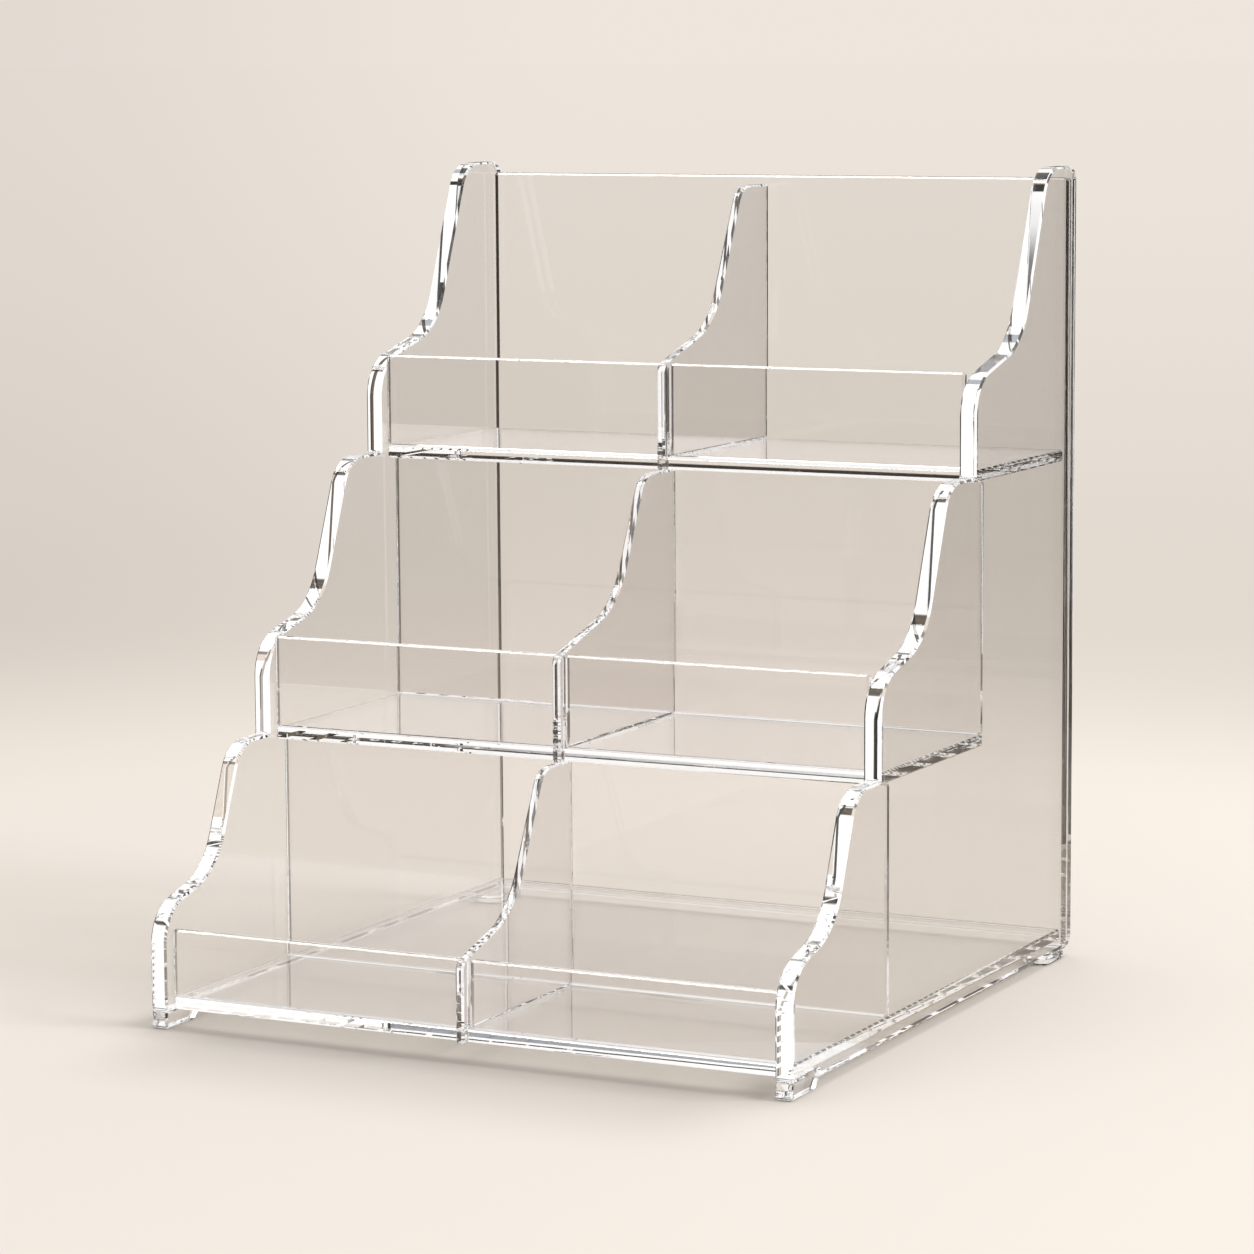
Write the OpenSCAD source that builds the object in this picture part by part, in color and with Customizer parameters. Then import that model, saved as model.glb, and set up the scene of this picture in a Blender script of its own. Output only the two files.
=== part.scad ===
// Clear acrylic display stand: three tiers, two columns, six open-topped compartments.
// Millimetres, +Z up, +Y to the back, +X to the right.
// Origin: centre of the footprint, on the plane the feet stand on.
// The stand is bonded from flat sheet, so every sheet is a piece of its own.

/* [Overall] */
// width over the outer faces of the two side sheets
stand_w = 230; // [200:5:260]
// depth of the lowest tier, from its front edge to the front edge of the middle tier
tier1_run = 66.5; // [58:0.5:78]
// depth of the middle tier, from its front edge to the front edge of the top tier
tier2_run = 77.5; // [68:0.5:90]
// depth of the top tier, from its front edge to the back of the stand
tier3_run = 90; // [78:1:104]
// height from the underside of the base sheet to the underside of the middle floor
tier1_rise = 79.5; // [70:0.5:90]
// height from the underside of the middle floor to the underside of the top floor
tier2_rise = 88.5; // [76:0.5:102]
// height from the underside of the top floor to the top of the side sheets
tier3_rise = 101; // [86:1:116]

/* [Sheet thickness] */
// thickness of the two side sheets and of the back sheet
side_t = 6; // [5:0.5:7]
// thickness of the base sheet and of the two upper floors
floor_t = 4; // [3:0.5:5]
// thickness of the risers, of the lips and of the dividers
pane_t = 3; // [2.5:0.5:4]

/* [Lips and risers] */
// height of the lowest lip above the base sheet
lip1_h = 22.5; // [18:0.5:26]
// height of the middle lip above its floor
lip2_h = 31; // [26:0.5:36]
// height of the top lip above its floor
lip3_h = 32; // [26:0.5:37]
// distance from the front edge of a side sheet back to the lip and to the floor edge
front_setback = 4; // [3:0.5:5]
// distance from the front edge of a tier back to the riser that stands under it
riser_inset = 9; // [8:0.5:11]
// rounding of the polished straight edges on lips, floors and back sheet
edge_r = 0.8; // [0.6:0.1:1]

/* [Side sheet curve] */
// height at which the shoulder slope meets the front edge, above the floor's underside
shoulder_h = 33; // [28:0.5:39]
// radius of the round shoulder
shoulder_r = 15; // [12:0.5:18]
// radius of the hollow where the slope turns upward
cove_r = 25; // [20:1:30]
// radius of the round crest
crest_r = 13; // [10:0.5:15]
// angle of the shoulder slope above the horizontal
shoulder_angle = 14.5; // [12:0.5:17]
// angle of the steep run above the horizontal
steep_angle = 68; // [66:1:71]
// how far the crest of a lower tier stands above the underside of the floor behind it
crest_step = 2; // [1.5:0.5:2.5]
// radius of the two rear corners of a side sheet
rear_r = 5; // [4:0.5:6]

/* [Divider curve] */
// radius of the top corner of the divider's front
divider_nose_r = 4; // [3:0.5:5]
// radius of the hollow of a divider
divider_cove_r = 30; // [24:1:36]
// radius of the crest of a divider
divider_crest_r = 9; // [7:0.5:11]
// angle of the slope behind the divider's front
divider_slope_angle = 16; // [13:0.5:19]
// angle of the steep run of a divider
divider_steep_angle = 64; // [62:1:67]
// how far the top of the uppermost divider stays below the top of the back sheet
divider_drop = 3; // [2:0.5:4]

/* [Back, base and feet] */
// how far the top of the back sheet stays below the crest of the side sheets
back_drop = 4; // [3:0.5:5]
// height of the side sheets' lower edge above the table
foot_h = 3; // [2.5:0.5:4]
// height of the base sheet's underside above the side sheets' lower edge
base_raise = 3; // [2.5:0.5:3.5]
// length of a front foot, along the side sheet
front_foot_l = 20; // [16:1:24]
// height of a front foot that is let into the corner of the side sheet
front_foot_let = 3; // [2.5:0.5:4]
// slanted corner at the lower rear end of a front foot
front_foot_slant = 3; // [2.5:0.5:3.5]
// width of a rear foot, across the stand
rear_foot_w = 14; // [12:0.5:17]
// length of a rear foot, along the side sheet
rear_foot_l = 18; // [15:1:22]
// corner radius of a rear foot
rear_foot_r = 3.5; // [3:0.5:4]

/* [Hidden] */
$fn = 96;

// angle between a level and an upright direction
right_angle = 90;
// share of a tier's depth and of its rise at which the steep run passes
steep_run_share = 0.55;
steep_rise_share = 0.65;
// overrun of a cutting body past the face it cuts
cut = 1;
// how far an arc crosses the slanted edges beside it, so that it never only touches them
arc_bite = 0.005;

// levels, from the table upward
side_z = foot_h;
base_z = side_z + base_raise;
middle_z = base_z + tier1_rise;
top_z = middle_z + tier2_rise;
crown_z = top_z + tier3_rise;
back_top_z = crown_z - back_drop;

// depth positions, from the front backward
stand_d = tier1_run + tier2_run + tier3_run;
front_y = -stand_d / 2;
middle_y = front_y + tier1_run;
top_y = middle_y + tier2_run;
rear_y = stand_d / 2;
back_y = rear_y - side_t;
lower_riser_y = middle_y + riser_inset;
upper_riser_y = top_y + riser_inset;

// width positions, left to right
inner_x = stand_w / 2 - side_t;
divider_x = pane_t / 2;

clear_colour = [0.93, 0.95, 0.95, 0.35];

// Unit vector at an angle in degrees.
function along(angle) = [cos(angle), sin(angle)];

// Length from the corner of two straight edges to where a rounding of radius r begins,
// when the edges turn by the given angle there.
function reach(r, turn) = r * tan(turn / 2);

// Where the slope that starts at [0, h] meets the steep line through the point p.
function meeting(h, p, slope, steep) =
    let (y = (p.y - h - p.x * tan(steep)) / (tan(slope) - tan(steep)))
    [y, h + y * tan(slope)];

// Wedge with its point at the origin, between two directions, whose far sides stand square to
// those directions at the given distance.
module wedge(distance, from, to) {
    polygon([
        [0, 0], distance * along(from),
        distance / cos((to - from) / 2) * along((from + to) / 2), distance * along(to)
    ]);
}

// What a rounding of radius r takes off a corner; the origin is the rounding's centre and the
// two directions point at the ends of its arc, which is drawn with the radius arc_r.
module corner_waste(r, arc_r, from, to) {
    difference() {
        wedge(r + cut, from, to);
        circle(r = arc_r);
    }
}

// Same for a square corner that lies at the origin, with the material toward [-1, -1].
module square_corner_waste(r) {
    translate([-r, -r])
        corner_waste(r, r, 0, right_angle);
}

// The three turns of a tier's outline behind its front edge: the end of the slope, the start of
// the steep run and the corner at the top. The front edge is at 0 and the floor's underside at 0.
function turns(run, rise, h, hollow_r, slope, steep) =
    let (
        pass = [run * steep_run_share, rise * steep_rise_share],
        corner = meeting(h, pass, slope, steep)
    )
    [
        corner - reach(hollow_r, steep - slope) * along(slope),
        corner + reach(hollow_r, steep - slope) * along(steep),
        [pass.x + (rise - pass.y) / tan(steep), rise]
    ];

// Straight-lined outline of one tier, in depth and height, from the top of its front edge at
// depth y and height z + h, up the slope, over the hollow, up the steep run and along the top.
function tier_corners(y, z, run, rise, h, hollow_r, slope, steep) =
    [for (p = concat([[0, h]], turns(run, rise, h, hollow_r, slope, steep), [[run, rise]]))
        [y, z] + p];

// What the roundings take off that outline: the shoulder, the crest and the hollow between them.
module tier_cuts(y, z, run, rise, h, nose_r, hollow_r, top_r, slope, steep) {
    corners = turns(run, rise, h, hollow_r, slope, steep);
    slope_end = corners[0];
    brow = corners[2];
    translate([y + nose_r, z + h - reach(nose_r, right_angle - slope)])
        corner_waste(nose_r, nose_r + arc_bite, right_angle + slope, 2 * right_angle);
    translate([y + brow.x + reach(top_r, steep), z + rise - top_r])
        corner_waste(top_r, top_r + arc_bite, right_angle, right_angle + steep);
    translate([y, z] + slope_end + hollow_r * along(slope + right_angle))
        circle(r = hollow_r + arc_bite);
}

// Turns an outline drawn in depth and height into a sheet that spans from x to x + t.
module upright_sheet(x, t) {
    translate([x, 0, 0])
        rotate([right_angle, 0, right_angle])
            linear_extrude(height = t)
                children();
}

function side_corners(y, z, run, rise) =
    tier_corners(y, z, run, rise, shoulder_h, cove_r, shoulder_angle, steep_angle);

module side_cuts(y, z, run, rise) {
    tier_cuts(y, z, run, rise, shoulder_h, shoulder_r, cove_r, crest_r, shoulder_angle,
        steep_angle);
}

// Whole stepped outline of a side sheet, with the recess for the front foot.
module side_outline() {
    difference() {
        polygon(concat(
            side_corners(front_y, base_z, tier1_run, tier1_rise + crest_step),
            side_corners(middle_y, middle_z, tier2_run, tier2_rise + crest_step),
            side_corners(top_y, top_z, tier3_run, tier3_rise),
            [[rear_y, side_z], [front_y, side_z]]
        ));
        side_cuts(front_y, base_z, tier1_run, tier1_rise + crest_step);
        side_cuts(middle_y, middle_z, tier2_run, tier2_rise + crest_step);
        side_cuts(top_y, top_z, tier3_run, tier3_rise);
        translate([rear_y, crown_z])
            square_corner_waste(rear_r);
        translate([rear_y, side_z])
            mirror([0, 1])
                square_corner_waste(rear_r);
        translate([front_y - cut, side_z - cut])
            square([front_foot_l + cut, front_foot_let + cut]);
    }
}

// Cross-section of a flat sheet with its two edges on the far side of the first axis rounded.
module edge_section(length, t) {
    difference() {
        square([length, t]);
        translate([length, t])
            square_corner_waste(edge_r);
        translate([length, 0])
            mirror([0, 1])
                square_corner_waste(edge_r);
    }
}

// Level sheet between the side sheets, with its front edge polished round.
module floor_sheet(y_front, y_rear, z) {
    upright_sheet(-inner_x, 2 * inner_x)
        translate([y_rear, z])
            mirror([1, 0])
                edge_section(y_rear - y_front, floor_t);
}

// Upright pane across the stand that stands on z and has its top edge polished round.
module upright_pane(x, w, y, z, h, t) {
    upright_sheet(x, w)
        translate([y + t, z])
            rotate(right_angle)
                edge_section(h, t);
}

// Upright pane with square edges that fills the height between two floors.
module riser(y, z_low, z_high) {
    translate([-inner_x, y, z_low])
        cube([2 * inner_x, pane_t, z_high - z_low]);
}

// Both panes of a lip are alike, one on each side of the divider.
module lip_pane(x, y, z, h) {
    upright_pane(x, inner_x - divider_x, y + front_setback, z + floor_t, h, pane_t);
}

module lip_left(y, z, h) {
    lip_pane(-inner_x, y, z, h);
}

module lip_right(y, z, h) {
    lip_pane(divider_x, y, z, h);
}

// Divider that stands on its floor and hooks over the floor's front edge.
module divider(y, z, run, rise, h) {
    upright_sheet(-divider_x, pane_t)
        difference() {
            polygon(concat(
                tier_corners(y, z, run, rise, h, divider_cove_r, divider_slope_angle,
                    divider_steep_angle),
                [[y + run, z], [y, z]]
            ));
            tier_cuts(y, z, run, rise, h, divider_nose_r, divider_cove_r, divider_crest_r,
                divider_slope_angle, divider_steep_angle);
            translate([y + front_setback, z - cut])
                square([run - front_setback + cut, floor_t + cut]);
        }
}

module left_side_sheet() {
    color(clear_colour)
        upright_sheet(-stand_w / 2, side_t)
            side_outline();
}

module right_side_sheet() {
    color(clear_colour)
        upright_sheet(inner_x, side_t)
            side_outline();
}

module back_sheet() {
    color(clear_colour)
        upright_pane(-inner_x, 2 * inner_x, back_y, side_z, back_top_z - side_z, side_t);
}

module base_sheet() {
    color(clear_colour)
        floor_sheet(front_y + front_setback, back_y, base_z);
}

module middle_floor() {
    color(clear_colour)
        floor_sheet(middle_y + front_setback, upper_riser_y + pane_t, middle_z);
}

module top_floor() {
    color(clear_colour)
        floor_sheet(top_y + front_setback, back_y, top_z);
}

module lower_riser() {
    color(clear_colour)
        riser(lower_riser_y, base_z + floor_t, middle_z);
}

module upper_riser() {
    color(clear_colour)
        riser(upper_riser_y, middle_z + floor_t, top_z);
}

module lower_lip_left() {
    color(clear_colour)
        lip_left(front_y, base_z, lip1_h);
}

module lower_lip_right() {
    color(clear_colour)
        lip_right(front_y, base_z, lip1_h);
}

module middle_lip_left() {
    color(clear_colour)
        lip_left(middle_y, middle_z, lip2_h);
}

module middle_lip_right() {
    color(clear_colour)
        lip_right(middle_y, middle_z, lip2_h);
}

module top_lip_left() {
    color(clear_colour)
        lip_left(top_y, top_z, lip3_h);
}

module top_lip_right() {
    color(clear_colour)
        lip_right(top_y, top_z, lip3_h);
}

module lower_divider() {
    color(clear_colour)
        divider(front_y, base_z, lower_riser_y - front_y, tier1_rise, floor_t + lip1_h);
}

module middle_divider() {
    color(clear_colour)
        divider(middle_y, middle_z, upper_riser_y - middle_y, tier2_rise, floor_t + lip2_h);
}

module top_divider() {
    color(clear_colour)
        divider(top_y, top_z, back_y - top_y, back_top_z - divider_drop - top_z,
            floor_t + lip3_h);
}

// Foot block let into the lower front corner of a side sheet.
module front_foot(x) {
    color(clear_colour)
        upright_sheet(x, side_t)
            translate([front_y, 0])
                polygon([
                    [0, 0], [front_foot_l - front_foot_slant, 0],
                    [front_foot_l, front_foot_slant],
                    [front_foot_l, foot_h + front_foot_let], [0, foot_h + front_foot_let]
                ]);
}

module front_foot_left() {
    front_foot(-stand_w / 2);
}

module front_foot_right() {
    front_foot(inner_x);
}

// Round-cornered pad under the lower rear corner, its outer side in line with the side sheet.
module rear_foot() {
    color(clear_colour)
        translate([stand_w / 2 - rear_foot_w, rear_y - rear_r - rear_foot_l, 0])
            linear_extrude(height = foot_h)
                difference() {
                    square([rear_foot_w, rear_foot_l]);
                    for (right = [0, 1])
                        for (rear = [0, 1])
                            translate([right * rear_foot_w, rear * rear_foot_l])
                                mirror([1 - right, 0])
                                    mirror([0, 1 - rear])
                                        square_corner_waste(rear_foot_r);
                }
}

module rear_foot_left() {
    mirror([1, 0, 0])
        rear_foot();
}

module rear_foot_right() {
    rear_foot();
}

left_side_sheet();
right_side_sheet();
back_sheet();
base_sheet();
middle_floor();
top_floor();
lower_riser();
upper_riser();
lower_lip_left();
lower_lip_right();
middle_lip_left();
middle_lip_right();
top_lip_left();
top_lip_right();
lower_divider();
middle_divider();
top_divider();
front_foot_left();
front_foot_right();
rear_foot_left();
rear_foot_right();
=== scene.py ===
import math

import bpy
import numpy as np
from mathutils import Matrix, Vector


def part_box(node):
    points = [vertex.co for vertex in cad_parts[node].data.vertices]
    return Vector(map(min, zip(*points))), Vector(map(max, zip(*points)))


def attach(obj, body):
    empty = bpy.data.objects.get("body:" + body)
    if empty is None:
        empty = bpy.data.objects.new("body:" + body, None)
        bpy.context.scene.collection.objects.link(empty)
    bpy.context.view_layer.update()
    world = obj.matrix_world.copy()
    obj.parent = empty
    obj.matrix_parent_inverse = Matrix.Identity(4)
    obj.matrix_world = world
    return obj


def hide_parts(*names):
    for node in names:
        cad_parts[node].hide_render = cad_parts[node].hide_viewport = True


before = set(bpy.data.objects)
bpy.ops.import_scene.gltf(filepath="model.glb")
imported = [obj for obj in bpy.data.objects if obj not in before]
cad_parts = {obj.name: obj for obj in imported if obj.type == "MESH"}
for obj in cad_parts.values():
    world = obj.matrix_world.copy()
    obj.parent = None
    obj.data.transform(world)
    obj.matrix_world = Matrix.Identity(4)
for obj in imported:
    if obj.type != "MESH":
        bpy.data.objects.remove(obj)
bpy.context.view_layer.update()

# Clear acrylic display stand: three tiers, two columns, bonded from polished sheet.
# Metres, in the frame of the CAD model. Every sheet of the CAD model is made again here with
# flame-polished edges, because light that runs inside a sheet shows itself only at its edges.

MM = 0.001

# Polished bevels along the cut edges, seen in section, and rounding of the sheets' corners, seen
# on their faces.
SIDE_BEVEL = 0.7 * MM
FLOOR_BEVEL = 0.6 * MM
PANE_BEVEL = 0.6 * MM
CORNER = 0.95 * MM
# Film of air that stays in a bonded joint, on each of its two sides.
FILM = 0.03 * MM
# Length and depth of the casting's waves and of the ripple on a flame-polished edge.
CASTING_LENGTH = 35.7143 * MM
CASTING_DEPTH = 0.006 * MM
RIPPLE_LENGTH = 6.25 * MM
RIPPLE_DEPTH = 0.002 * MM

# Curve of the side sheets.
SHOULDER_HEIGHT = 33 * MM
SHOULDER_RADIUS = 15 * MM
COVE_RADIUS = 25 * MM
CREST_RADIUS = 13 * MM
SHOULDER_ANGLE = math.radians(14.5)
STEEP_ANGLE = math.radians(68)
CREST_STEP = 2 * MM
REAR_RADIUS = 5 * MM
# Curve of the dividers.
NOSE_RADIUS = 4 * MM
DIVIDER_COVE_RADIUS = 30 * MM
DIVIDER_CREST_RADIUS = 9 * MM
DIVIDER_SLOPE_ANGLE = math.radians(16)
DIVIDER_STEEP_ANGLE = math.radians(64)
# Share of a tier's depth and of its rise at which the steep run passes.
STEEP_RUN_SHARE = 0.55
STEEP_RISE_SHARE = 0.65
# Feet.
FOOT_SLANT = 3 * MM
PAD_RADIUS = 3.5 * MM

# An arc takes one step for each of these angles and no fewer than the least, and an arc of no
# more than the small radius always takes the same few.
ARC_STEP = math.radians(3.5)
LEAST_STEPS = 3
SMALL_RADIUS = 2 * MM
SMALL_STEPS = 4


def rounded(corners, radii):
    """Closed outline with round corners, as its points and its outward normals, anticlockwise.

    Where the direction turns by w, the arc of radius r starts r tan(w / 2) before the corner.
    Its centre lies r beside that start, inside the outline at an outer corner and outside it
    at an inner one, and its points are the centre plus or minus r times the normal.
    """
    p = np.asarray(corners, float)
    r = np.broadcast_to(np.asarray(radii, float), len(p))
    after = np.roll(p, -1, 0)
    if np.sum(p[:, 0] * after[:, 1] - after[:, 0] * p[:, 1]) < 0:
        p, r = p[::-1], r[::-1]
    out = np.roll(p, -1, 0) - p
    heading = np.arctan2(out[:, 1], out[:, 0])
    before = np.roll(heading, 1)
    turn = (heading - before + math.pi) % (2 * math.pi) - math.pi
    points, normals = [], []
    for corner, radius, start, w in zip(p, r, before, turn):
        steps = SMALL_STEPS
        if radius > SMALL_RADIUS:
            steps = max(LEAST_STEPS, int(math.ceil(abs(w) / ARC_STEP)))
        angle = start + w * np.linspace(0, 1, steps + 1)
        normal = np.stack([np.sin(angle), -np.cos(angle)], 1)
        side = np.sign(w)
        ahead = np.array([math.cos(start), math.sin(start)])
        centre = corner - radius * math.tan(abs(w) / 2) * ahead - side * radius * normal[0]
        points.append(centre + side * radius * normal)
        normals.append(normal)
    return np.concatenate(points), np.concatenate(normals)


def sheet(name, node, outline, low, high, axis, material, bevel):
    """Flat sheet with bevelled edges that stands for a CAD node.

    The outline is drawn across the axis and swept from low to high along it. On the two faces it
    has shrunk by the bevel along its own normal, and it stands at full size between one bevel
    above low and one below high. Each strip round the sheet keeps one angle to the axis, so the
    bevels stay flat across and crisp, while the shading follows the outline smoothly.
    """
    points, normals = outline
    level = np.array([low, low + bevel, high - bevel, high])
    shrink = np.array([bevel, 0.0, 0.0, bevel])
    strip_angle = np.radians([-45.0, 0.0, 45.0])
    rings, n = len(level), len(points)
    flat = points[None] - normals[None] * shrink[:, None, None]
    height = np.broadcast_to(level[:, None, None], (rings, n, 1))
    roll = {"x": 1, "y": 2, "z": 0}[axis]
    verts = np.roll(np.concatenate([flat, height], 2), roll, -1).reshape(-1, 3)
    index = np.arange(rings * n).reshape(rings, n)
    ahead = np.roll(index, -1, 1)
    quads = np.stack([index[:-1], ahead[:-1], ahead[1:], index[1:]], -1).reshape(-1, 4)
    faces = quads.tolist() + [index[0][::-1].tolist(), index[-1].tolist()]
    next_normals = np.roll(normals, -1, 0)
    corner = np.stack([normals, next_normals, next_normals, normals], 1)
    facing = np.concatenate([
        corner[None] * np.cos(strip_angle)[:, None, None, None],
        np.broadcast_to(np.sin(strip_angle)[:, None, None, None], (rings - 1, n, 4, 1)),
    ], 3).reshape(-1, 3)
    caps = np.repeat([[0.0, 0.0, -1.0], [0.0, 0.0, 1.0]], n, 0)
    facing = np.roll(np.concatenate([facing, caps]), roll, -1)
    me = bpy.data.meshes.new(name)
    me.from_pydata(verts.tolist(), [], faces)
    me.polygons.foreach_set("use_smooth", np.ones(len(faces), bool))
    me.normals_split_custom_set(facing.tolist())
    cut_face = np.concatenate([np.ones((rings - 1) * n * 4), np.zeros(2 * n)])
    edge = me.attributes.new("edge", "FLOAT", "CORNER")
    edge.data.foreach_set("value", cut_face.astype(np.float32))
    me.materials.append(material)
    me.update()
    piece = bpy.data.objects.new(name, me)
    bpy.context.scene.collection.objects.link(piece)
    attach(piece, "root")
    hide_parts(node)


def span(node):
    """Lowest and highest corner of a CAD node, as arrays."""
    low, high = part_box(node)
    return np.array(low), np.array(high)


def turning_corners(y, z, run, rise, h, slope, steep):
    """Sharp corners of one tier's outline: the top of its front edge, the corner in the hollow
    where the slope meets the steep line, and the corner at the top of the steep line. The steep
    line passes through set shares of the tier's depth and rise.
    """
    through = np.array([run * STEEP_RUN_SHARE, rise * STEEP_RISE_SHARE])
    hollow = (through[1] - h - through[0] * math.tan(steep)) / (math.tan(slope) - math.tan(steep))
    brow = through[0] + (rise - through[1]) / math.tan(steep)
    return [(y, z + h), (y + hollow, z + h + hollow * math.tan(slope)), (y + brow, z + rise)]


def srgb(value):
    """Linear colour of an sRGB hex value, or the grey of a plain strength."""
    if not isinstance(value, str):
        return (value, value, value, 1.0)
    c = np.array([int(value[i:i + 2], 16) for i in (1, 3, 5)]) / 255
    return (*np.where(c <= 0.04045, c / 12.92, ((c + 0.055) / 1.055) ** 2.4), 1.0)


def add(tree, kind, settings=None, inputs=None, stops=()):
    """Adds a node with its settings, its inputs set or linked, and its ramp's stops. An input
    that is given as a node takes that node's first output.
    """
    node = tree.nodes.new(kind)
    for key, value in (settings or {}).items():
        setattr(node, key, value)
    for key, value in (inputs or {}).items():
        if isinstance(value, bpy.types.Node):
            value = value.outputs[0]
        if isinstance(value, bpy.types.NodeSocket):
            tree.links.new(value, node.inputs[key])
        else:
            node.inputs[key].default_value = value
    for k, (at, value) in enumerate(stops):
        elements = node.color_ramp.elements
        stop = elements[k] if k < 2 else elements.new(at)
        stop.position = at
        stop.color = srgb(value)
    return node


def acrylic(name, tint, shade, edge_shade="#8C867F"):
    """Cast acrylic sheet, bonded and flame-polished. IOR 1.49 gives its soft gloss. The faces keep
    the faint long waves of the casting, about 36 mm apart and a few thousandths of a millimetre
    deep. The cut edges, where the edge attribute is 1, also keep the ripple that the flame
    leaves, about 6 mm long. Lamps shine through, dimmed by shade, and by edge_shade at a cut
    edge, which turns most light aside, so that the stand throws the faint, dark-lined shadow of
    clear plastic.
    """
    material = bpy.data.materials.new(name)
    material.use_nodes = True
    tree = material.node_tree
    tree.nodes.clear()
    place = add(tree, "ShaderNodeTexCoord").outputs["Object"]
    casting = add(tree, "ShaderNodeTexNoise", inputs={
        "Vector": place, "Scale": 1 / CASTING_LENGTH, "Detail": 1.0})
    flame = add(tree, "ShaderNodeTexNoise", inputs={
        "Vector": place, "Scale": 1 / RIPPLE_LENGTH, "Detail": 1.0})
    edge = add(tree, "ShaderNodeAttribute", {"attribute_name": "edge"}).outputs["Fac"]
    waves = add(tree, "ShaderNodeBump", inputs={
        "Height": casting.outputs["Fac"], "Strength": 1.0, "Distance": CASTING_DEPTH})
    flamed = add(tree, "ShaderNodeMath", {"operation": "MULTIPLY"}, {
        0: edge, 1: flame.outputs["Fac"]})
    ripple = add(tree, "ShaderNodeBump", inputs={
        "Height": flamed, "Strength": 1.0, "Distance": RIPPLE_DEPTH, "Normal": waves})
    body = add(tree, "ShaderNodeBsdfPrincipled", inputs={
        "Base Color": srgb(tint), "Roughness": 0.0, "IOR": 1.49, "Transmission Weight": 1.0,
        "Normal": ripple})
    dimmed = add(tree, "ShaderNodeMix", {"data_type": "RGBA"}, {
        "Factor": edge, 6: srgb(shade), 7: srgb(edge_shade)})
    light = add(tree, "ShaderNodeBsdfTransparent", inputs={"Color": dimmed.outputs[2]})
    path = add(tree, "ShaderNodeLightPath")
    mix = add(tree, "ShaderNodeMixShader", inputs={
        0: path.outputs["Is Shadow Ray"], 1: body, 2: light})
    add(tree, "ShaderNodeOutputMaterial", inputs={"Surface": mix})
    return material


side_acrylic = acrylic("cast_acrylic_6mm_polished", "#FBFAF9", "#F7F6F5")
floor_acrylic = acrylic("cast_acrylic_4mm_polished", "#FCFBFA", "#F7F6F5")
pane_acrylic = acrylic("cast_acrylic_3mm_polished", "#FDFCFC", "#F8F7F6")
foot_acrylic = acrylic("cast_acrylic_foot_block", "#FBFAF9", "#F2F0EE")

# Levels and depths, read from the CAD nodes.
side_low, side_high = span("left_side_sheet")
front_y, rear_y = side_low[1], side_high[1]
side_z, crown_z = side_low[2], side_high[2]
floors = [span(n) for n in ("base_sheet", "middle_floor", "top_floor")]
setback = floors[0][0][1] - front_y
tier_y = [low[1] - setback for low, _ in floors]
tier_z = [low[2] for low, _ in floors]
floor_thickness = floors[0][1][2] - floors[0][0][2]


def side_outline():
    """Stepped outline of a side sheet in depth and height, with the recess for the front foot."""
    corners, radii = [], []
    ends = tier_y[1:] + [rear_y]
    tops = [z + CREST_STEP for z in tier_z[1:]] + [crown_z]
    step_radii = [CORNER, CORNER, REAR_RADIUS]
    for y, z, end, top, step_radius in zip(tier_y, tier_z, ends, tops, step_radii):
        corners += turning_corners(y, z, end - y, top - z, SHOULDER_HEIGHT, SHOULDER_ANGLE,
                                   STEEP_ANGLE)
        corners.append((end, top))
        radii += [SHOULDER_RADIUS, COVE_RADIUS, CREST_RADIUS, step_radius]
    _, foot_high = span("front_foot_left")
    recess_y, recess_z = foot_high[1] + FILM, foot_high[2] + FILM
    corners += [(rear_y, side_z), (recess_y, side_z), (recess_y, recess_z), (front_y, recess_z)]
    radii += [REAR_RADIUS, CORNER, CORNER, CORNER]
    return rounded(corners, radii)


outline = side_outline()
for side in ("left", "right"):
    low, high = span(side + "_side_sheet")
    sheet("polished_%s_side" % side, side + "_side_sheet", outline, low[0], high[0], "x",
          side_acrylic, SIDE_BEVEL)


def panel(name, node, axis, material, bevel):
    """Plain sheet in the place of its CAD node, with a film of air at its bonded faces."""
    low, high = span(node)
    a, b, c = {"x": (1, 2, 0), "y": (2, 0, 1), "z": (0, 1, 2)}[axis]
    low, high = low + FILM, high - FILM
    corners = [(low[a], low[b]), (high[a], low[b]), (high[a], high[b]), (low[a], high[b])]
    sheet(name, node, rounded(corners, CORNER), low[c], high[c], axis, material, bevel)


panel("polished_back", "back_sheet", "y", side_acrylic, FLOOR_BEVEL)
for name, node in (("base", "base_sheet"), ("middle_floor", "middle_floor"),
                   ("top_floor", "top_floor")):
    panel("polished_" + name, node, "z", floor_acrylic, FLOOR_BEVEL)
panes = ["lower_riser", "upper_riser"]
panes += ["%s_lip_%s" % (tier, side) for tier in ("lower", "middle", "top")
          for side in ("left", "right")]
for node in panes:
    panel("polished_" + node, node, "y", pane_acrylic, PANE_BEVEL)

for tier, y, z in zip(("lower", "middle", "top"), tier_y, tier_z):
    node = tier + "_divider"
    low, high = span(node)
    lip_top = span(tier + "_lip_left")[1][2]
    floor_top = z + floor_thickness + FILM
    end, top = high[1] - FILM, high[2] - FILM
    hook_y = y + setback - FILM
    nose, hollow, brow = turning_corners(y, z, high[1] - y, high[2] - z, lip_top - z,
                                         DIVIDER_SLOPE_ANGLE, DIVIDER_STEEP_ANGLE)
    corners = [nose, hollow, (brow[0], top), (end, top), (end, floor_top), (hook_y, floor_top),
               (hook_y, z), (y, z)]
    radii = [NOSE_RADIUS, DIVIDER_COVE_RADIUS, DIVIDER_CREST_RADIUS] + [CORNER] * 5
    sheet("polished_" + node, node, rounded(corners, radii), low[0] + FILM, high[0] - FILM, "x",
          pane_acrylic, SIDE_BEVEL)

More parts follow.
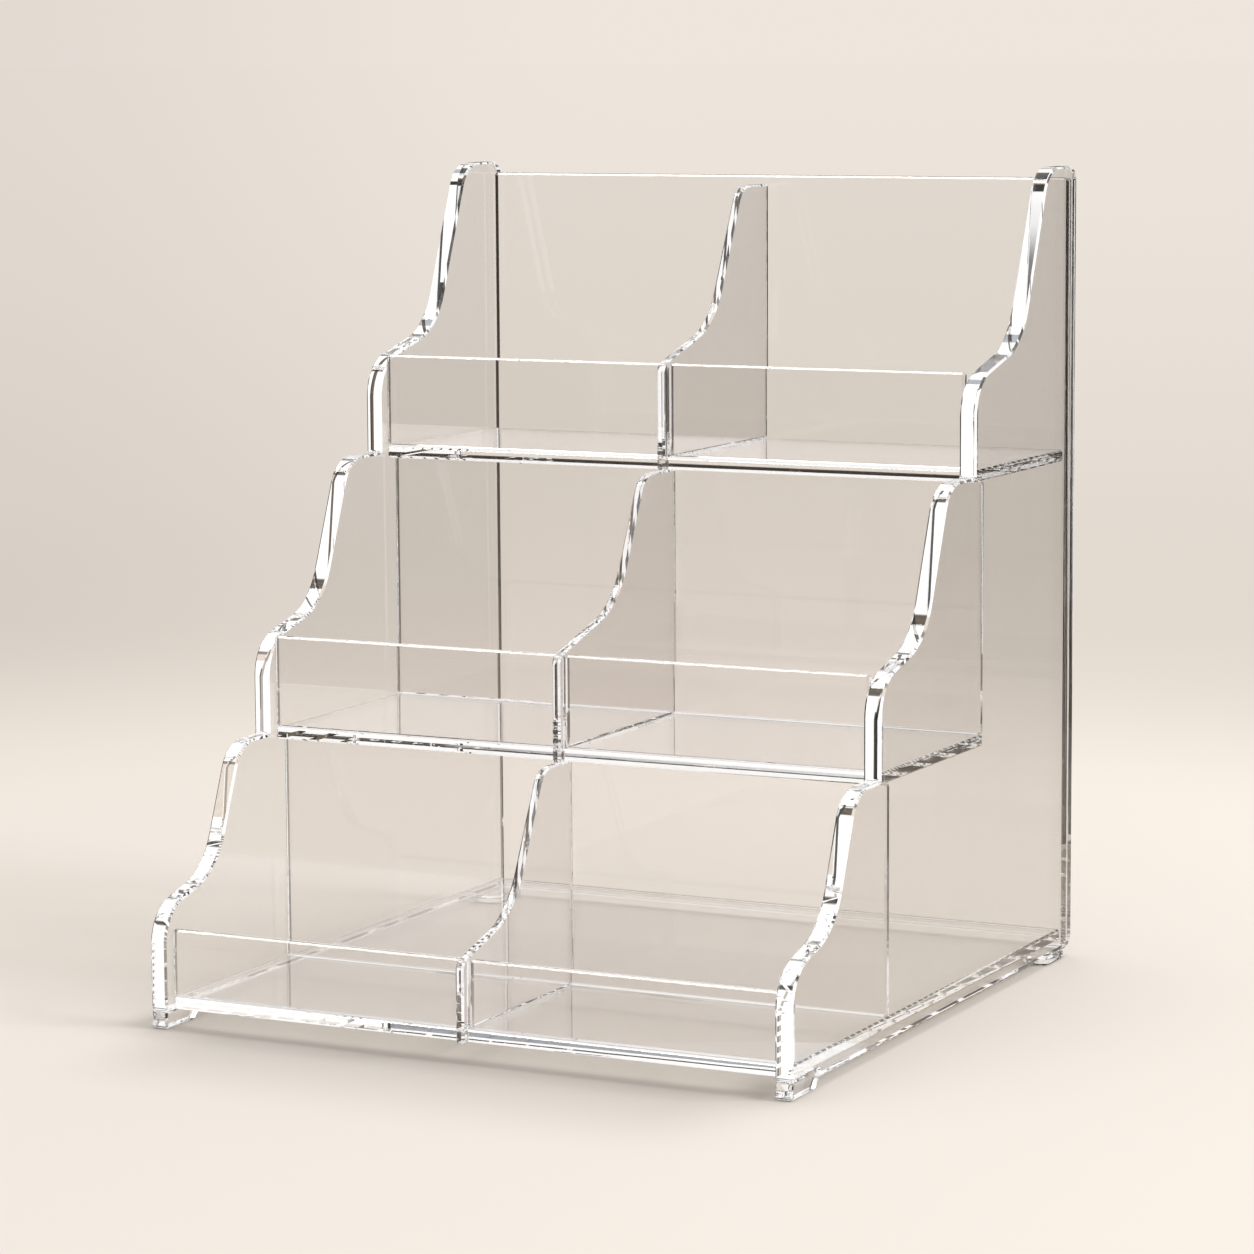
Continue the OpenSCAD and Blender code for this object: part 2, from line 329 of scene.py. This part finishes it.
for side in ("left", "right"):
    node = "front_foot_" + side
    low, high = span(node)
    corners = [(low[1], low[2]), (high[1] - FOOT_SLANT, low[2]), (high[1], low[2] + FOOT_SLANT),
               (high[1], high[2]), (low[1], high[2])]
    sheet("polished_" + node, node, rounded(corners, CORNER), low[0], high[0], "x",
          foot_acrylic, SIDE_BEVEL)
    node = "rear_foot_" + side
    low, high = span(node)
    corners = [(low[0], low[1]), (high[0], low[1]), (high[0], high[1]), (low[0], high[1])]
    sheet("polished_" + node, node, rounded(corners, PAD_RADIUS), low[2], high[2] - FILM, "z",
          foot_acrylic, SIDE_BEVEL)


# Surroundings: one pale ground that runs to the horizon on every side of the stand, and a world
# above it. Rays that go straight through the sheets see the same pale paper as the camera. Rays
# that a sheet has turned see the studio itself, as if the ground were glass: white screens with
# narrow dark gaps between them.

# Colour of the ground by how far along the way to the horizon it lies: r / (r + GROUND_REACH). It
# holds painted shade: past the stand it darkens and then pales again, as a backdrop that curves up
# behind the stand would be shaded.
PAPER_AND_COVE_SHADE_STOPS = [(0.0, "#F0E8DF"), (0.22, "#F2EAE0"), (0.27, "#F3EAE0"), (0.36, "#E4DBD1"),
                (0.43, "#E2D9CF"), (0.54, "#E3DBD1"), (0.75, "#EAE2D8"), (1.0, "#EEE6DD")]
GROUND_REACH = 1.414
# Painted shade: the ground and the backdrop darken a little towards the left, away from the light,
# by this share and over this reach, and the ground only past this part of the way to the horizon.
LEFTWARD = (-0.89, -0.45, 0)
LEFT_REACH = 0.16
LEFT_SHADE = 0.11
LEFT_SHADE_FROM, LEFT_SHADE_TO = 0.27, 0.42
# Painted shade on the ground before the stand's front edge, which stands close over it: it deepens
# towards the edge, to the share that shaded ground keeps, and ends behind it and at the sides.
SHADE_FROM_Y, SHADE_TO_Y, SHADE_END_Y = -0.20, -0.117, -0.105
SHADE_SIDE_FROM, SHADE_SIDE_TO = 0.08, 0.125
SHADED = 0.78
# Past this distance the ground glows: it shows its own colour as emission, whatever light falls on
# it.
LIT_TO, GLOW_FROM = 0.35, 0.8
GROUND_SIZE = 120.0
GROUND_DROP = 0.2 * MM

# Bands of the world. Each list holds where a band starts and its colour or strength: by height,
# from straight down, -1, to straight up, 1, or across, from the left, -1, to the right, 1.
STRAIGHT_BANDS = [(-1.0, "#EEE6DD"), (0.14, 0.02), (0.24, 1.1)]
ONCE_BANDS = [(-1.0, "#9A9A98"), (-0.84, 1.05), (-0.66, "#2E2C26"), (-0.43, 1.05),
              (-0.39, "#B98F66"), (-0.365, 0.01), (-0.246, 1.1), (0.055, "#EEE6DD"), (0.45, 1.0)]
FEW_BANDS = [(-1.0, 1.1), (-0.62, "#AEB4BA"), (-0.50, 1.1)]
MANY_BANDS = [(-1.0, 1.1), (-0.52, "#5A5043"), (-0.42, 1.1), (0.43, "#6B5D4C"), (0.50, 1.1)]
LONG_BANDS = [(-1.0, 1.1), (-0.46, "#8C7F70"), (-0.42, "#E9DDD1"), (-0.34, 1.1),
              (0.45, "#4A4036"), (0.50, 1.1), (0.86, "#8A7F74")]
PLAIN_ACROSS = [(-1.0, 1.0), (0.0, 1.0)]
ACROSS_BANDS = [(-1.0, 1.0), (-0.93, 0.03), (-0.80, 1.05), (-0.205, 0.02), (0.0, "#6B5D4F"),
                (0.205, 1.05), (0.80, 0.03), (0.93, 1.0)]
LONG_ACROSS_BANDS = [(-1.0, 1.05), (-0.205, 0.02), (-0.14, "#BBB3AB"), (0.0, 1.05),
                     (0.14, 0.02), (0.205, 1.05)]
BAND_BLUR = 0.006
# Just below the horizon the studio is dark, and it pales downwards into the lit ground, sooner
# before the stand than behind it. Each stop is a height and a colour.
LOW_RANGE = (-0.231, 0.055)
LOW_FRONT = [(-0.231, "#E4D9CD"), (-0.20, "#DACEC2"), (-0.13, "#CBBFB2"), (-0.095, "#8C8073"),
             (-0.05, "#2A2622")]
LOW_REAR = [(-0.231, "#E2D7CB"), (-0.20, "#BDB1A4"), (-0.17, "#988C80"), (-0.12, "#4A423B"),
            (-0.05, "#3B342E")]
# Patches over the bands: dark and grey flags, and a round lamp overhead. Each has a colour, or
# stops by height, and the ranges that it fills. Depth is below 0 before the stand and above 0
# behind it, aside is how far to either side, and overhead is the cosine to the lamp. Slanted
# depth leans back for steep rays, up and down, as the edge of the dark part before the stand
# does.
BEFORE, BEHIND = (-1.1, 0.0), (0.0, 1.1)
DEPTH_SLANT = 0.2
OVERHEAD_DIRECTION = (-0.451, -0.140, 0.881)
ONCE_PATCHES = [
    (LOW_FRONT, {"height": LOW_RANGE}),
    (LOW_REAR, {"height": LOW_RANGE, "depth": BEHIND}),
    (13.0, {"overhead": (0.988, 1.1)}),
]
FRONT_DARK = ("#3A332D", {"slanted depth": BEFORE})
FEW_PATCHES = [("#0A0908", {"across": (-0.60, -0.47), "height": (-0.325, -0.262)}), FRONT_DARK]
MANY_PATCHES = [("#92989F", {"across": (-0.60, -0.30), "height": (0.17, 0.26)}), FRONT_DARK]
LONG_PATCHES = [
    ("#4A423A", {"depth": BEFORE, "height": (-0.25, 0.12)}),
    ("#4A423A", {"depth": BEFORE, "height": (0.12, 0.25), "aside": (0.6, 1.1)}),
    ("#2A211B", {"aside": (0.33, 0.40), "height": (-0.21, 0.12)}),
]
# What a ray sees that the sheets have reflected once, a few times, many times or very often.
VIEWS = [
    (ONCE_BANDS, PLAIN_ACROSS, ONCE_PATCHES),
    (FEW_BANDS, ACROSS_BANDS, FEW_PATCHES),
    (MANY_BANDS, ACROSS_BANDS, MANY_PATCHES),
    (LONG_BANDS, LONG_ACROSS_BANDS, LONG_PATCHES),
]
FEW_FROM, MANY_FROM, LONG_FROM = 2, 5, 10
# Even light that the matt ground gets from the world.
FILL = 0.5

SMOOTH = {"interpolation_type": "SMOOTHSTEP"}
RGB = {"data_type": "RGBA"}
LEVEL = (1, 1, 0)


def graded(tree, value, stops):
    """Colour of a value from -1 to 1, going evenly from stop to stop."""
    share = add(tree, "ShaderNodeMapRange", inputs={
        "Value": value, "From Min": -1.0, "From Max": 1.0})
    return add(tree, "ShaderNodeValToRGB", inputs={0: share},
               stops=[((at + 1) / 2, colour) for at, colour in stops])


def blurred(bands):
    """Stops of bands that blur a little into each other."""
    stops = [bands[0]]
    for (_, before), (start, after) in zip(bands, bands[1:]):
        stops += [(start - BAND_BLUR, before), (start + BAND_BLUR, after)]
    return stops


def within(tree, values, ranges):
    """1 where every named value lies in its range, and 0 elsewhere: the product of a comparison
    with each end of each range.
    """
    share = 1.0
    for name, (low, high) in ranges.items():
        for operation, end in (("GREATER_THAN", low), ("LESS_THAN", high)):
            test = add(tree, "ShaderNodeMath", {"operation": operation}, {0: values[name], 1: end})
            share = add(tree, "ShaderNodeMath", {"operation": "MULTIPLY"}, {0: share, 1: test})
    return share


def turned(tree, times):
    """1 for rays that have been reflected at least so many times, and 0 for the others."""
    path = add(tree, "ShaderNodeLightPath")
    return add(tree, "ShaderNodeMath", {"operation": "GREATER_THAN"}, {
        0: path.outputs["Glossy Depth"], 1: times - 0.5})


def ground():
    """Pale matt ground. Its colour depends on how far along the way to the horizon a point is,
    which is even in a picture taken from eye height. That colour holds painted shade: a darker
    ring past the stand, a darkening towards the left and shade before the stand's front edge. Far
    off the ground glows with its colour instead of taking light.
    """
    material = bpy.data.materials.new("studio_paper_with_painted_shade_and_glow")
    material.use_nodes = True
    tree = material.node_tree
    tree.nodes.clear()
    place = add(tree, "ShaderNodeTexCoord").outputs["Object"]
    sides = add(tree, "ShaderNodeSeparateXYZ", inputs={0: place}).outputs
    flat = add(tree, "ShaderNodeVectorMath", {"operation": "MULTIPLY"}, {0: place, 1: LEVEL})
    r = add(tree, "ShaderNodeVectorMath", {"operation": "LENGTH"}, {0: flat}).outputs["Value"]
    past = add(tree, "ShaderNodeMath", {"operation": "ADD"}, {0: r, 1: GROUND_REACH})
    way = add(tree, "ShaderNodeMath", {"operation": "DIVIDE"}, {0: r, 1: past})
    # The ramp holds painted shade: a darker ring past the stand, as on a backdrop that curves up.
    paper = add(tree, "ShaderNodeValToRGB", inputs={0: way}, stops=PAPER_AND_COVE_SHADE_STOPS)
    paper.color_ramp.interpolation = "B_SPLINE"
    # Painted shade: the ground darkens a little towards the left.
    leftward = add(tree, "ShaderNodeVectorMath", {"operation": "DOT_PRODUCT"}, {
        0: place, 1: LEFTWARD}).outputs["Value"]
    left_way = add(tree, "ShaderNodeMath", {"operation": "DIVIDE"}, {0: leftward, 1: past})
    left = add(tree, "ShaderNodeMapRange", SMOOTH, {"Value": left_way, "From Max": LEFT_REACH})
    far = add(tree, "ShaderNodeMapRange", SMOOTH, {
        "Value": way, "From Min": LEFT_SHADE_FROM, "From Max": LEFT_SHADE_TO, "To Max": LEFT_SHADE})
    left_shade = add(tree, "ShaderNodeMath", {"operation": "MULTIPLY"}, {0: left, 1: far})
    kept = add(tree, "ShaderNodeMath", {"operation": "SUBTRACT"}, {0: 1.0, 1: left_shade})
    # Painted shade on the ground before the stand's front edge.
    in_front = add(tree, "ShaderNodeMapRange", SMOOTH, {
        "Value": sides["Y"], "From Min": SHADE_FROM_Y, "From Max": SHADE_TO_Y,
        "To Min": 1.0, "To Max": SHADED})
    under = add(tree, "ShaderNodeMapRange", SMOOTH, {
        "Value": sides["Y"], "From Min": SHADE_TO_Y, "From Max": SHADE_END_Y})
    aside = add(tree, "ShaderNodeMath", {"operation": "ABSOLUTE"}, {0: sides["X"]})
    beside = add(tree, "ShaderNodeMapRange", SMOOTH, {
        "Value": aside, "From Min": SHADE_SIDE_FROM, "From Max": SHADE_SIDE_TO})
    clear_of = add(tree, "ShaderNodeMath", {"operation": "MAXIMUM"}, {0: under, 1: beside})
    shade = add(tree, "ShaderNodeMix", inputs={"Factor": clear_of, "A": in_front, "B": 1.0})
    kept = add(tree, "ShaderNodeMath", {"operation": "MULTIPLY"}, {0: kept, 1: shade})
    paper = add(tree, "ShaderNodeVectorMath", {"operation": "SCALE"}, {0: paper, "Scale": kept})
    matt = add(tree, "ShaderNodeBsdfDiffuse", inputs={"Color": paper})
    # Far off, the ground glows with its own colour as emission instead of taking light.
    glow = add(tree, "ShaderNodeEmission", inputs={"Color": paper, "Strength": 1.0})
    glowing = add(tree, "ShaderNodeMapRange", SMOOTH, {
        "Value": r, "From Min": LIT_TO, "From Max": GLOW_FROM})
    seen = add(tree, "ShaderNodeMixShader", inputs={0: glowing, 1: matt, 2: glow})
    clear = add(tree, "ShaderNodeBsdfTransparent")
    mix = add(tree, "ShaderNodeMixShader", inputs={0: turned(tree, 1), 1: seen, 2: clear})
    add(tree, "ShaderNodeOutputMaterial", inputs={"Surface": mix})
    me = bpy.data.meshes.new("studio_ground")
    e, z = GROUND_SIZE / 2, -GROUND_DROP
    me.from_pydata([(-e, -e, z), (e, -e, z), (e, e, z), (-e, e, z)], [], [(0, 1, 2, 3)])
    me.materials.append(material)
    o = bpy.data.objects.new("studio_ground", me)
    bpy.context.scene.collection.objects.link(o)


def view(tree, values, bands, across_bands, patches):
    """Colour of the studio by direction: bands by height times bands across, with patches painted
    over them.
    """
    seen = add(tree, "ShaderNodeVectorMath", {"operation": "MULTIPLY"}, {
        0: graded(tree, values["height"], blurred(bands)),
        1: graded(tree, values["across"], blurred(across_bands))}).outputs[0]
    for paint, ranges in patches:
        if isinstance(paint, list):
            paint = graded(tree, values["height"], paint)
        else:
            paint = srgb(paint)
        seen = add(tree, "ShaderNodeMix", RGB, {
            "Factor": within(tree, values, ranges), 6: seen, 7: paint}).outputs[2]
    return seen


def studio():
    """World whose colour depends on a ray's direction and on how often the sheets have reflected
    it. Matt surfaces get an even fill.
    """
    world = bpy.data.worlds.new("studio")
    bpy.context.scene.world = world
    world.use_nodes = True
    tree = world.node_tree
    tree.nodes.clear()
    direction = add(tree, "ShaderNodeTexCoord").outputs["Generated"]
    parts = add(tree, "ShaderNodeSeparateXYZ", inputs={0: direction}).outputs
    flat = add(tree, "ShaderNodeVectorMath", {"operation": "MULTIPLY"}, {0: direction, 1: LEVEL})
    unit = add(tree, "ShaderNodeVectorMath", {"operation": "NORMALIZE"}, {0: flat})
    across = add(tree, "ShaderNodeSeparateXYZ", inputs={0: unit}).outputs["X"]
    steepness = add(tree, "ShaderNodeMath", {"operation": "ABSOLUTE"}, {0: parts["Z"]})
    values = {
        "depth": parts["Y"], "height": parts["Z"], "across": across,
        "aside": add(tree, "ShaderNodeMath", {"operation": "ABSOLUTE"}, {0: across}),
        "slanted depth": add(tree, "ShaderNodeMath", {"operation": "MULTIPLY_ADD"}, {
            0: steepness, 1: -DEPTH_SLANT, 2: parts["Y"]}),
        "overhead": add(tree, "ShaderNodeVectorMath", {"operation": "DOT_PRODUCT"}, {
            0: direction, 1: OVERHEAD_DIRECTION}).outputs["Value"],
    }
    # Painted shade: the backdrop seen straight darkens a little towards the left.
    leftward = add(tree, "ShaderNodeVectorMath", {"operation": "DOT_PRODUCT"}, {
        0: unit, 1: LEFTWARD}).outputs["Value"]
    kept = add(tree, "ShaderNodeMapRange", SMOOTH, {
        "Value": leftward, "From Max": LEFT_REACH, "To Min": 1.0, "To Max": 1.0 - LEFT_SHADE})
    straight = add(tree, "ShaderNodeVectorMath", {"operation": "SCALE"}, {
        0: graded(tree, values["height"], blurred(STRAIGHT_BANDS)), "Scale": kept})
    once, few, many, long = [view(tree, values, *lists) for lists in VIEWS]
    often = few
    for times, colour in ((MANY_FROM, many), (LONG_FROM, long)):
        often = add(tree, "ShaderNodeMix", RGB, {
            "Factor": turned(tree, times), 6: often, 7: colour}).outputs[2]
    path = add(tree, "ShaderNodeLightPath")
    lighting = add(tree, "ShaderNodeMath", {"operation": "GREATER_THAN"}, {
        0: path.outputs["Diffuse Depth"], 1: 0.5})
    # Cycles weighs the world against the lamps by the strengths of its Background nodes taken
    # together, so fewer nodes for the same colours would darken the ground a little.
    light = add(tree, "ShaderNodeBackground", inputs={"Color": straight, "Strength": 1.0})
    others = [(turned(tree, 1), once, 1.0), (turned(tree, FEW_FROM), often, 1.0),
              (lighting, srgb(1.0), FILL)]
    for mask, colour, strength in others:
        other = add(tree, "ShaderNodeBackground", inputs={"Color": colour, "Strength": strength})
        light = add(tree, "ShaderNodeMixShader", inputs={0: mask, 1: light, 2: other})
    add(tree, "ShaderNodeOutputWorld", inputs={"Surface": light})


def placed(o, right, up, back, at):
    """Puts a lamp or camera at a point, with its three axes along three unit vectors."""
    m = Matrix.Identity(4)
    for k, axis in enumerate((right, up, back, at)):
        for j in range(3):
            m[j][k] = axis[j]
    o.matrix_world = m
    bpy.context.scene.collection.objects.link(o)


def softbox(name, at, aim, size, radiance):
    """Square area lamp. Its power is radiance times pi times its area."""
    data = bpy.data.lights.new(name, "AREA")
    data.shape = "RECTANGLE"
    data.size = data.size_y = size
    data.energy = radiance * math.pi * size ** 2
    lamp = bpy.data.objects.new(name, data)
    lamp.visible_camera = False
    lamp.visible_glossy = False
    lamp.visible_transmission = False
    back = np.array(at, float) - np.array(aim, float)
    back /= np.linalg.norm(back)
    right = np.cross((0, 0, 1), back)
    right /= np.linalg.norm(right)
    placed(lamp, right, np.cross(back, right), back, at)


ground()
studio()
softbox("overhead_softbox", (0.1, 0.5, 2.4), (0, 0, 0), 1.6, 2.23)
softbox("right_softbox", (3.0, 0.4, 1.9), (0, 0, 0.1), 1.2, 14.5)

# Camera at the photograph's angle. The values come from a fit to the sheets' corners.
AZIMUTH = math.radians(26.89)
ELEVATION = math.radians(7.783)
ROLL = math.radians(-0.365)
DISTANCE = 1426.9 * MM
TARGET = np.array([0.58, 0, 123.92]) * MM
FOCAL_PIXELS = 4263.8
PHOTO_PIXELS = 1254
SENSOR_WIDTH = 36.0
FARTHEST_SEEN = 200.0
back = np.array([math.sin(AZIMUTH) * math.cos(ELEVATION), -math.cos(AZIMUTH) * math.cos(ELEVATION),
                 math.sin(ELEVATION)])
right = np.array([math.cos(AZIMUTH), math.sin(AZIMUTH), 0.0])
up = np.cross(back, right)
c, s = math.cos(ROLL), math.sin(ROLL)
right, up = c * right + s * up, -s * right + c * up
data = bpy.data.cameras.new("camera")
data.sensor_width = SENSOR_WIDTH
data.lens = FOCAL_PIXELS * SENSOR_WIDTH / PHOTO_PIXELS
data.clip_end = FARTHEST_SEEN
camera = bpy.data.objects.new("camera", data)
placed(camera, right, up, back, TARGET + back * DISTANCE)

# Light runs far inside the sheets before it leaves them, so paths may be long.
BOUNCES = 96
TRANSPARENT_BOUNCES = 64
BRIGHTEST_INDIRECT = 4.0
scene = bpy.context.scene
scene.camera = camera
scene.view_settings.view_transform = "Standard"
scene.cycles.max_bounces = BOUNCES
scene.cycles.transmission_bounces = BOUNCES
scene.cycles.glossy_bounces = BOUNCES
scene.cycles.transparent_max_bounces = TRANSPARENT_BOUNCES
scene.cycles.sample_clamp_indirect = BRIGHTEST_INDIRECT
